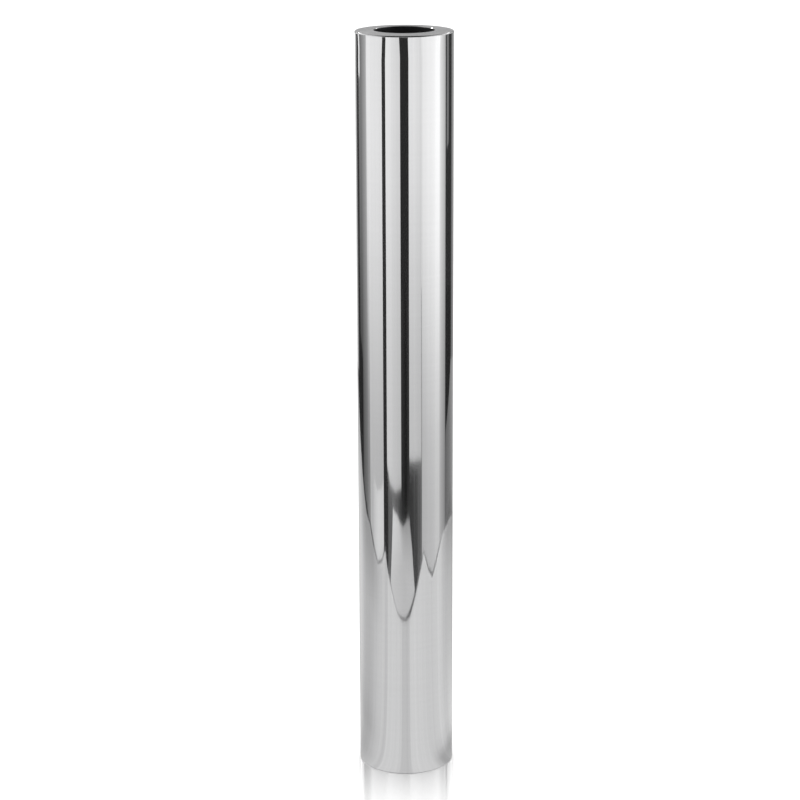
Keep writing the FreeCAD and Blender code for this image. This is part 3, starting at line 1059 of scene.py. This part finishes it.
# Upright soft panels round the bollard, which light its polish. Each runs through (angle, distance,
# brightness) on the plan: degrees from the front, positive to the right, and metres from the axis. Then
# come its lower and upper edges, and the share of its brightness that is left down at the floor.
PANELS = (
    ("left", ((-52.5, 0.88, 1.12), (-58, 0.836, 1.16), (-70, 0.818, 1.18), (-83, 0.897, 1.2),
        (-92, 0.975, 1.26)), 0.0, 0.95, 0.58),
    ("left_end", ((-92.1, 0.975, 1.26), (-97.5, 1.0, 1.22)), 0.0, 0.95, 0.3),
    ("left_foot", ((-53, 0.872, 0.9), (-58, 0.829, 0.97), (-70, 0.812, 0.97), (-80, 0.872, 0.8),
        (-88, 0.94, 0.62)), 0.0, 0.115, 1.0),
    ("left_grey", ((-97.6, 1.0, 0.8), (-101, 1.02, 0.58), (-107, 1.07, 0.46), (-114, 1.13, 0.36),
        (-119, 1.2, 0.26)), 0.0, 0.95, 0.45),
    ("left_shade", ((-119, 1.2, 0.26), (-126, 1.3, 0.28), (-132, 1.36, 0.22)), 0.215, 0.95, 0.3),
    ("left_strip", ((-123, 1.29, 1.3), (-127, 1.3, 1.5), (-132, 1.3, 1.0)), 0.68, 0.95, 1.0),
    ("left_high", ((-133, 1.32, 0.9), (-140, 1.34, 1.6), (-148, 1.36, 1.1)), 0.815, 0.95, 1.0),
    ("far_left", ((-143, 1.9, 0.06), (-147, 1.9, 0.25), (-151, 1.91, 0.55), (-156, 1.92, 0.82),
        (-162, 1.95, 1.02), (-180, 1.95, 1.02)), 0.0, 0.7, 0.95),
    ("front_left", ((-44.2, 1.33, 1.22), (-37, 1.22, 1.22), (-24, 1.18, 1.08), (-9.9, 1.2, 1.0)),
     0.0, 0.95, 0.76),
    ("front_right", ((9.2, 1.355, 1.18), (22, 1.35, 1.18), (38.15, 1.36, 1.06)), 0.0, 0.95, 0.7),
    ("right", ((38.4, 0.84, 1.13), (43, 0.88, 1.24), (55, 0.795, 1.32), (66, 0.762, 1.36),
        (76, 0.808, 1.52), (85, 0.862, 1.58), (90, 0.88, 1.18), (97, 0.91, 0.94), (104, 0.93, 0.78),
        (109, 0.95, 0.54)), 0.0, 0.95, 0.55),
    ("high_rim", ((-150, 2.5, 1.2), (-80, 2.5, 1.2), (-12, 2.5, 1.2), (-9, 2.5, 1.0), (9, 2.5, 1.0),
        (12, 2.5, 1.2), (80, 2.5, 1.2), (150, 2.5, 1.2)), 1.08, 1.34, 1.0),
    ("right_shade", ((114, 1.52, 0.16), (119, 1.55, 0.28), (125, 1.6, 0.16)), 0.52, 0.95, 1.0),
    ("far_right", ((138, 2.0, 0.05), (142, 2.0, 0.2), (149, 2.0, 0.4), (156, 2.0, 0.46), (168, 2.0, 0.48),
        (180, 1.95, 0.5)), 0.0, 0.7, 0.8),
)
# The shares of a panel's height at which its brightness is given.
PANEL_LEVELS = (0.0, 0.1, 0.2, 0.3, 0.42, 0.55, 0.7, 1.0)
FLOOR_REACH = 20.0
ROOM_RADIUS = 2.7  # where the dark floor gives way to the far floor
# How far the mirrored sheets lie under the floor, so that its own reflection doesn't meet them.
CLOTH_DEPTH = 0.4 * MM
TABLE_DEPTH = 0.8 * MM
FLOOR_DEPTH = 2 * MM
# Shares of the way out to the table's edge at which its brightness is given.
TABLE_SHARES = (0.0, 0.04, 0.06, 0.08, 0.1, 0.12, 0.17, 0.28, 0.45, 0.62, 0.72, 0.88, 0.972, 0.98, 1.0)
# The white table top that the polish mirrors, as its edge at each angle and its brightness there.
TABLE = (
    (-180, 1.95, 0.87), (-166, 1.95, 0.9), (-155, 1.95, 0.92), (-148, 1.68, 1.0), (-139, 1.45, 1.08),
    (-127, 1.23, 1.0), (-120, 1.14, 0.9), (-108, 1.02, 0.83), (-95, 0.975, 0.83), (-84, 0.88, 0.89),
    (-70, 0.8, 0.92), (-58, 0.815, 0.92), (-51.5, 0.865, 0.88), (-49, 0.87, 0.8), (-45, 0.8, 0.8),
    (-42, 0.77, 0.92), (-29, 0.665, 0.93), (-19, 0.605, 0.92), (-11, 0.585, 0.9), (-8, 0.58, 0.79),
    (0, 0.579, 0.78), (7, 0.592, 0.79), (10, 0.6, 0.94), (19, 0.656, 0.95), (29, 0.735, 0.93),
    (39, 0.82, 0.92), (43, 0.866, 0.9), (55, 0.779, 0.88), (66, 0.745, 0.88), (78, 0.804, 0.92),
    (84, 0.84, 0.96), (98, 0.914, 0.88), (110, 0.951, 0.88), (118, 0.955, 0.94), (128, 0.975, 0.96),
    (145, 0.98, 0.86), (158, 0.978, 0.7), (174, 0.975, 0.55), (179.5, 1.2, 0.7),
)
# Other sheets that lie flat: the cloth in front, and the floor behind the table on the right.
CLOTH = (
    (-30.0, 1.09, 1.05), (-20, 1.06, 0.95), (-6, 1.0, 0.58), (4, 1.04, 0.46), (9, 1.04, 0.46),
    (15.2, 0.887, 0.66), (21.2, 0.7, 0.8), (0, 0.592, 0.76), (-19, 0.612, 0.82), (-36.0, 0.738, 0.85),
)
# The dark floor's brightness at each angle.
DARK_FLOOR = (
    (-180, 0.02), (-60, 0.02), (-43, 0.03), (-39.5, 0.16), (-36, 0.2), (-24, 0.14), (-12, 0.05),
    (0, 0.01), (12, 0.05), (24, 0.08), (36, 0.17), (46, 0.17), (60, 0.02), (180, 0.02),
)
# The far floor's brightness at each angle, dark behind the gaps between the panels.
FAR_FLOOR = (
    (-180, 0.9), (-150, 0.9), (-147, 0.03), (-122, 0.03), (-118, 0.5), (-96, 0.7), (-92, 1.0), (-57, 1.0),
    (-54, 0.03), (-42, 0.03), (-40, 1.0), (-12, 1.0), (-10.5, 0.02), (9.5, 0.02), (11, 1.0), (104, 1.0),
    (108, 0.03), (142, 0.03), (154, 0.6), (180, 0.9),
)
# How much the white table loses to the shade at its left, at its right and close to the foot, at shares
# of the way out.
LEFT_SHADE = (
    (0.0, 0.1), (0.06, 0.14), (0.17, 0.3), (0.28, 0.21), (0.45, 0.17), (0.62, 0.18), (0.88, 0.38),
    (1.0, 0.44),
)
RIGHT_SHADE = (
    (0.0, 0.0), (0.17, 0.08), (0.28, 0.12), (0.45, 0.2), (0.72, 0.27), (0.88, 0.38), (1.0, 0.5),
)
FOOT_SHADE = (
    (0.0, 0.45), (0.08, 0.38), (0.12, 0.1), (0.17, 0.0), (1.0, 0.0),
)
BACK_FLOOR = (
    (98, 0.93, 0.16), (112, 1.5, 0.18), (124, 1.66, 0.22), (140, 2.05, 0.35), (160, 2.05, 0.5),
    (178, 2.0, 0.7), (174, 0.98, 0.55), (158, 0.985, 0.34), (145, 0.985, 0.24), (128, 0.98, 0.18),
    (118, 0.96, 0.16), (110, 0.955, 0.15),
)


def plan(angle, distance):
    """A point on the plan at an angle from the front, positive to the right, and a distance."""
    turn = np.radians(angle)
    return np.stack([distance * np.sin(turn), -distance * np.cos(turn)], axis=-1)


class BOLLARD_OT_stage(bpy.types.Operator):
    """White floor, soft panels, lamps and camera"""

    bl_idname = "bollard.stage"
    bl_label = "Stage"

    def execute(self, context):
        studio = context.scene.bollard_studio
        self.make_world(studio)
        self.make_floor(studio)
        self.make_panels(studio)
        self.make_lamps()
        self.make_camera(context, studio)
        context.scene.view_settings.view_transform = "Standard"
        return {"FINISHED"}

    def make_world(self, studio):
        """A room that looks white and lights the floor evenly, but mirrors dark, with a light band behind.

        The band lies between two heights over the horizon, and is left out towards the front.
        """
        world = bpy.data.worlds.new("white_room")
        tree = fresh_tree(world)
        parts = parts_of(tree, tree.nodes.new("ShaderNodeTexCoord").outputs["Generated"])
        up = parts[2]
        # gain is a bright line in the band, which only the top ring's face is turned to.
        band = times(tree, spread(tree, up, 0.17, 0.27), spread(tree, up, 0.62, 0.74, 1.0, 0.0))
        band = times(tree, band, spread(tree, parts[1], -0.6, -0.2))
        sideways = maths(tree, "ABSOLUTE", parts[0])
        band = times(tree, band, spread(tree, sideways, 0.1, 0.5, 0.22, 0.5))
        gain = times(tree, spread(tree, up, 0.385, 0.398), spread(tree, up, 0.46, 0.49, 1.0, 0.0))
        band = times(tree, band, spread(tree, gain, 0.0, 1.0, 1.0, 5.0))
        low_glow = spread(tree, parts[0], -0.5, 0.5, 0.50, 0.36)
        low_glow = times(tree, low_glow, spread(tree, parts[1], 0.0, 0.3))
        low_glow = times(tree, low_glow, spread(tree, up, 0.0, 0.02))
        mirrored = maths(tree, "ADD", maths(tree, "MAXIMUM", band, low_glow), 0.02)
        ray = tree.nodes.new("ShaderNodeLightPath")

        def light(strength):
            """A white background of that strength."""
            return node(tree, "ShaderNodeBackground", {"Color": WHITE, "Strength": strength}).outputs[0]

        def either(kind, others, these):
            """One background for the rays of a kind, and another for the rest."""
            return node(tree, "ShaderNodeMixShader", {0: ray.outputs[kind], 1: others, 2: these})

        unseen = either("Is Glossy Ray", light(studio.room_glow), light(mirrored))
        last = either("Is Camera Ray", unseen.outputs[0], light(1.0))
        output = tree.nodes.new("ShaderNodeOutputWorld")
        tree.links.new(last.outputs[0], output.inputs[0])
        bpy.context.scene.world = world

    def make_floor(self, studio):
        """A wide white floor, polished in front of the foot, where it mirrors the bollard and fades outwards.

        It glows a little, so that it stays white in the shade. The polished steel doesn't mirror it: the
        flat sheets under it stand in for it there.
        """
        corners = [(x * FLOOR_REACH, y * FLOOR_REACH, 0) for x, y in ((-1, -1), (1, -1), (1, 1), (-1, 1))]
        floor = new_mesh("white_floor", corners, [[0, 1, 2, 3]], solid=False)
        values = {"Base Color": (0.93, 0.93, 0.93, 1), "Roughness": 0.1, "Specular IOR Level": 0.0}
        tree, shader, place = material("white_gloss", values | {"Emission Color": WHITE})
        radius, _ = radius_and_height(tree, place)
        foot = outer_radius("outer_sleeve")
        parts = parts_of(tree, place)
        fade = spread(tree, radius, foot, studio.mirror_reach, 1.0, 0.0)
        fade = times(tree, fade, spread(tree, radius, foot - 2.2 * MM, foot - 1.8 * MM))
        fade = times(tree, fade, spread(tree, parts[1], -0.01, 0.02, 1.0, 0.0))
        across = maths(tree, "ABSOLUTE", parts[0])
        fade = times(tree, fade, spread(tree, across, foot, foot + 3 * MM, 1.0, 0.0))
        tree.links.new(times(tree, fade, studio.mirror_share), shader.inputs["Metallic"])
        glow = spread(tree, fade, 0.0, 1.0, studio.floor_glow, 0.0)
        tree.links.new(glow, shader.inputs["Emission Strength"])
        floor.data.materials.append(bpy.data.materials[LOOK + "white_gloss"])
        floor.visible_glossy = False

    def glow_material(self, name, strength):
        """A material that glows by the sheet's own brightness attribute."""
        made = bpy.data.materials.new(name)
        tree = fresh_tree(made)
        own = node(tree, "ShaderNodeAttribute", attribute_name="brightness").outputs["Fac"]
        power = times(tree, own, strength)
        glow = node(tree, "ShaderNodeEmission", {"Color": WHITE, "Strength": power})
        output = tree.nodes.new("ShaderNodeOutputMaterial")
        tree.links.new(glow.outputs[0], output.inputs[0])
        return made

    def mirrored_only(self, name, points, brightness, look, faces):
        """A sheet that shows only in reflections, with a brightness at each of its points."""
        piece = new_mesh(name, points, faces, solid=False)
        values = piece.data.attributes.new("brightness", "FLOAT", "POINT")
        values.data.foreach_set("value", np.asarray(brightness, np.float32).ravel())
        piece.data.materials.append(look)
        piece.visible_camera = False
        piece.visible_diffuse = False
        piece.visible_shadow = False
        piece.visible_transmission = False

    def make_panels(self, studio):
        """Panels that stand on their plan lines, dimmer towards the floor, and the sheets that lie flat."""
        look = self.glow_material("panel_glow", studio.panel_glow)
        for name, line, foot, top, left_over in PANELS:
            angle, distance, glow = np.array(line).T
            steps = np.linspace(0, len(line) - 1, (len(line) - 1) * 12 + 1)
            number = np.arange(len(line))
            place = plan(np.interp(steps, number, angle), np.interp(steps, number, distance))
            level = foot + (top - foot) * np.array(PANEL_LEVELS)
            rise = np.clip((level - 0.08) / 0.6, 0, 1)
            share = left_over + (1 - left_over) * rise * rise * (3 - 2 * rise)
            up = level[:, None, None]
            points = np.concatenate([place + 0 * up, up + 0 * place[:, :1]], axis=-1)
            along = np.interp(steps, number, angle)
            folds = sum(np.sin(np.radians(along) * beat + beat) for beat in (33, 61, 97)) / 3
            brightness = share[:, None] * (np.interp(steps, number, glow) * (1 + 0.03 * folds))[None]
            faces = quads(len(level), len(steps), False, False)
            self.mirrored_only("panel_" + name, points, brightness, look, faces)
        for name, line in (("front_cloth", CLOTH), ("back_floor", BACK_FLOOR)):
            angle, distance, glow = np.array(line).T
            rim = plan(angle, distance)
            flat = np.concatenate([rim, rim.mean(axis=0)[None]])
            points = np.concatenate([flat, np.full((len(flat), 1), -CLOTH_DEPTH)], axis=1)
            here = np.arange(len(rim))
            fan = np.stack([here, np.roll(here, -1), np.full(len(rim), len(rim))], axis=-1)
            self.mirrored_only(name, points, np.append(glow, glow.mean()), look, fan)
        self.round_sheets(look)

    def round_sheets(self, look):
        """The table top, the dark floor and the far floor, each on a grid of angle and share of the way out.

        The table's side shades are blended in with the angle, and both sheets carry faint folds that run
        outwards: sums of three sines of the angle.
        """
        turn = np.arange(-180, 180, 0.5)
        folds = sum(np.sin(np.radians(turn) * beat + beat) for beat in (29, 47, 71)) / 3
        angle, distance, glow = np.array(TABLE).T
        edge = np.interp(turn, angle, distance, period=360)
        shine = np.interp(turn, angle, glow, period=360) * (1 + 0.035 * folds)
        share = np.array(TABLE_SHARES)
        rows = 0.02 + (edge[None] - 0.02) * share[:, None]
        left = np.clip((-turn - 48) / 38, 0, 1) * np.clip((turn + 190) / 40, 0.5, 1)
        right = np.clip((turn - 92) / 30, 0, 1)
        beside = np.clip((turn - 48) / 20, 0, 1) * np.clip((170 - turn) / 30, 0, 1)
        beside = beside + 0.3 * np.clip((-turn - 48) / 20, 0, 1)
        lost = np.interp(share, *np.array(LEFT_SHADE).T)[:, None] * left
        lost = lost + np.interp(share, *np.array(RIGHT_SHADE).T)[:, None] * right
        lost = lost + np.interp(share, *np.array(FOOT_SHADE).T)[:, None] * beside
        lipped = 0.22 * (share >= 0.98)[:, None] * (np.abs(turn) > 30) * (np.abs(turn) < 150)
        self.round_sheet("white_table", turn, rows, shine * (1 - lost) * (1 + lipped), look, TABLE_DEPTH)
        glow = np.interp(turn, *np.array(DARK_FLOOR).T) * (1 + 0.3 * folds)
        rows = np.array([0.02, ROOM_RADIUS])[:, None] + 0 * turn
        self.round_sheet("dark_floor", turn, rows, glow + 0 * rows, look, FLOOR_DEPTH)
        glow = np.interp(turn, *np.array(FAR_FLOOR).T)
        rows = np.array([ROOM_RADIUS, 14.0])[:, None] + 0 * turn
        self.round_sheet("far_floor", turn, rows, glow + 0 * rows, look, FLOOR_DEPTH)

    def round_sheet(self, name, turn, rows, brightness, look, depth):
        """A flat sheet from its rows of radii, at a depth under the floor."""
        points = np.concatenate([plan(turn + 0 * rows, rows), np.full((*rows.shape, 1), -depth)], axis=-1)
        self.mirrored_only(name, points, brightness, look, quads(*rows.shape, False, True))

    def make_lamps(self):
        """A broad soft lamp overhead for the floor, and a small bright one high behind on the left."""
        for name, power, size, place, mirrored in (
            ("overhead", 6.0, 2.5, (0.0, -0.3, 3.0), False),
            ("back_left", 3.0, 0.10, (-1.1, 1.9, 1.95), True),
        ):
            lamp = bpy.data.lights.new(name, "AREA")
            lamp.energy = power
            lamp.size = size
            holder = bpy.data.objects.new(name, lamp)
            holder.location = place
            aim = Vector((0, 0, 0.6)) - holder.location
            holder.rotation_euler = aim.to_track_quat("-Z", "Y").to_euler()
            holder.visible_glossy = mirrored
            bpy.context.scene.collection.objects.link(holder)

    def make_camera(self, context, studio):
        """A camera in front, tilted down, with its axes worked out from the tilt, turn and roll."""
        tilt, turn, roll = studio.camera_tilt, studio.camera_turn, studio.camera_roll
        ahead = Vector((-math.sin(turn) * math.cos(tilt), math.cos(turn) * math.cos(tilt), -math.sin(tilt)))
        right = Vector((math.cos(turn), math.sin(turn), 0))
        up = right.cross(ahead)
        rolled_right = math.cos(roll) * right - math.sin(roll) * up
        rolled_up = math.sin(roll) * right + math.cos(roll) * up
        data = bpy.data.cameras.new("front_camera")
        data.lens = studio.lens
        data.sensor_width = 36.0
        holder = bpy.data.objects.new("front_camera", data)
        axes = Matrix((rolled_right, rolled_up, -ahead)).transposed().to_4x4()
        axes.translation = Vector((0, -studio.camera_distance, studio.camera_height))
        holder.matrix_world = axes
        bpy.context.scene.collection.objects.link(holder)
        context.scene.camera = holder


class BOLLARD_PT_panel(bpy.types.Panel):
    """The bollard's operators and settings in the sidebar"""

    bl_idname = "BOLLARD_PT_panel"
    bl_label = "Steel bollard"
    bl_space_type = "VIEW_3D"
    bl_region_type = "UI"
    bl_category = "Bollard"

    def draw(self, context):
        for operator in OPERATORS:
            self.layout.operator(operator.bl_idname)
        scene = context.scene
        for settings in (scene.bollard_sizes, scene.bollard_colours, scene.bollard_studio):
            column = self.layout.column(align=True)
            for name in settings.bl_rna.properties.keys():
                if name not in ("name", "rna_type"):
                    column.prop(settings, name)


OPERATORS = (
    BOLLARD_OT_sleeve,
    BOLLARD_OT_top_collar,
    BOLLARD_OT_core,
    BOLLARD_OT_spacers,
    BOLLARD_OT_fasteners,
    BOLLARD_OT_welds,
    BOLLARD_OT_stage,
)
CLASSES = (BollardSizes, BollardColours, StudioSettings, *OPERATORS, BOLLARD_PT_panel)


def register():
    for made in CLASSES:
        bpy.utils.register_class(made)
    bpy.types.Scene.bollard_sizes = PointerProperty(type=BollardSizes)
    bpy.types.Scene.bollard_colours = PointerProperty(type=BollardColours)
    bpy.types.Scene.bollard_studio = PointerProperty(type=StudioSettings)


def unregister():
    for name in ("bollard_studio", "bollard_colours", "bollard_sizes"):
        delattr(bpy.types.Scene, name)
    for made in reversed(CLASSES):
        bpy.utils.unregister_class(made)


def main():
    """Registers the classes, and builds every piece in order."""
    register()
    for operator in OPERATORS:
        group_name, name = operator.bl_idname.split(".")
        getattr(getattr(bpy.ops, group_name), name)()


if __name__ == "__main__":
    main()
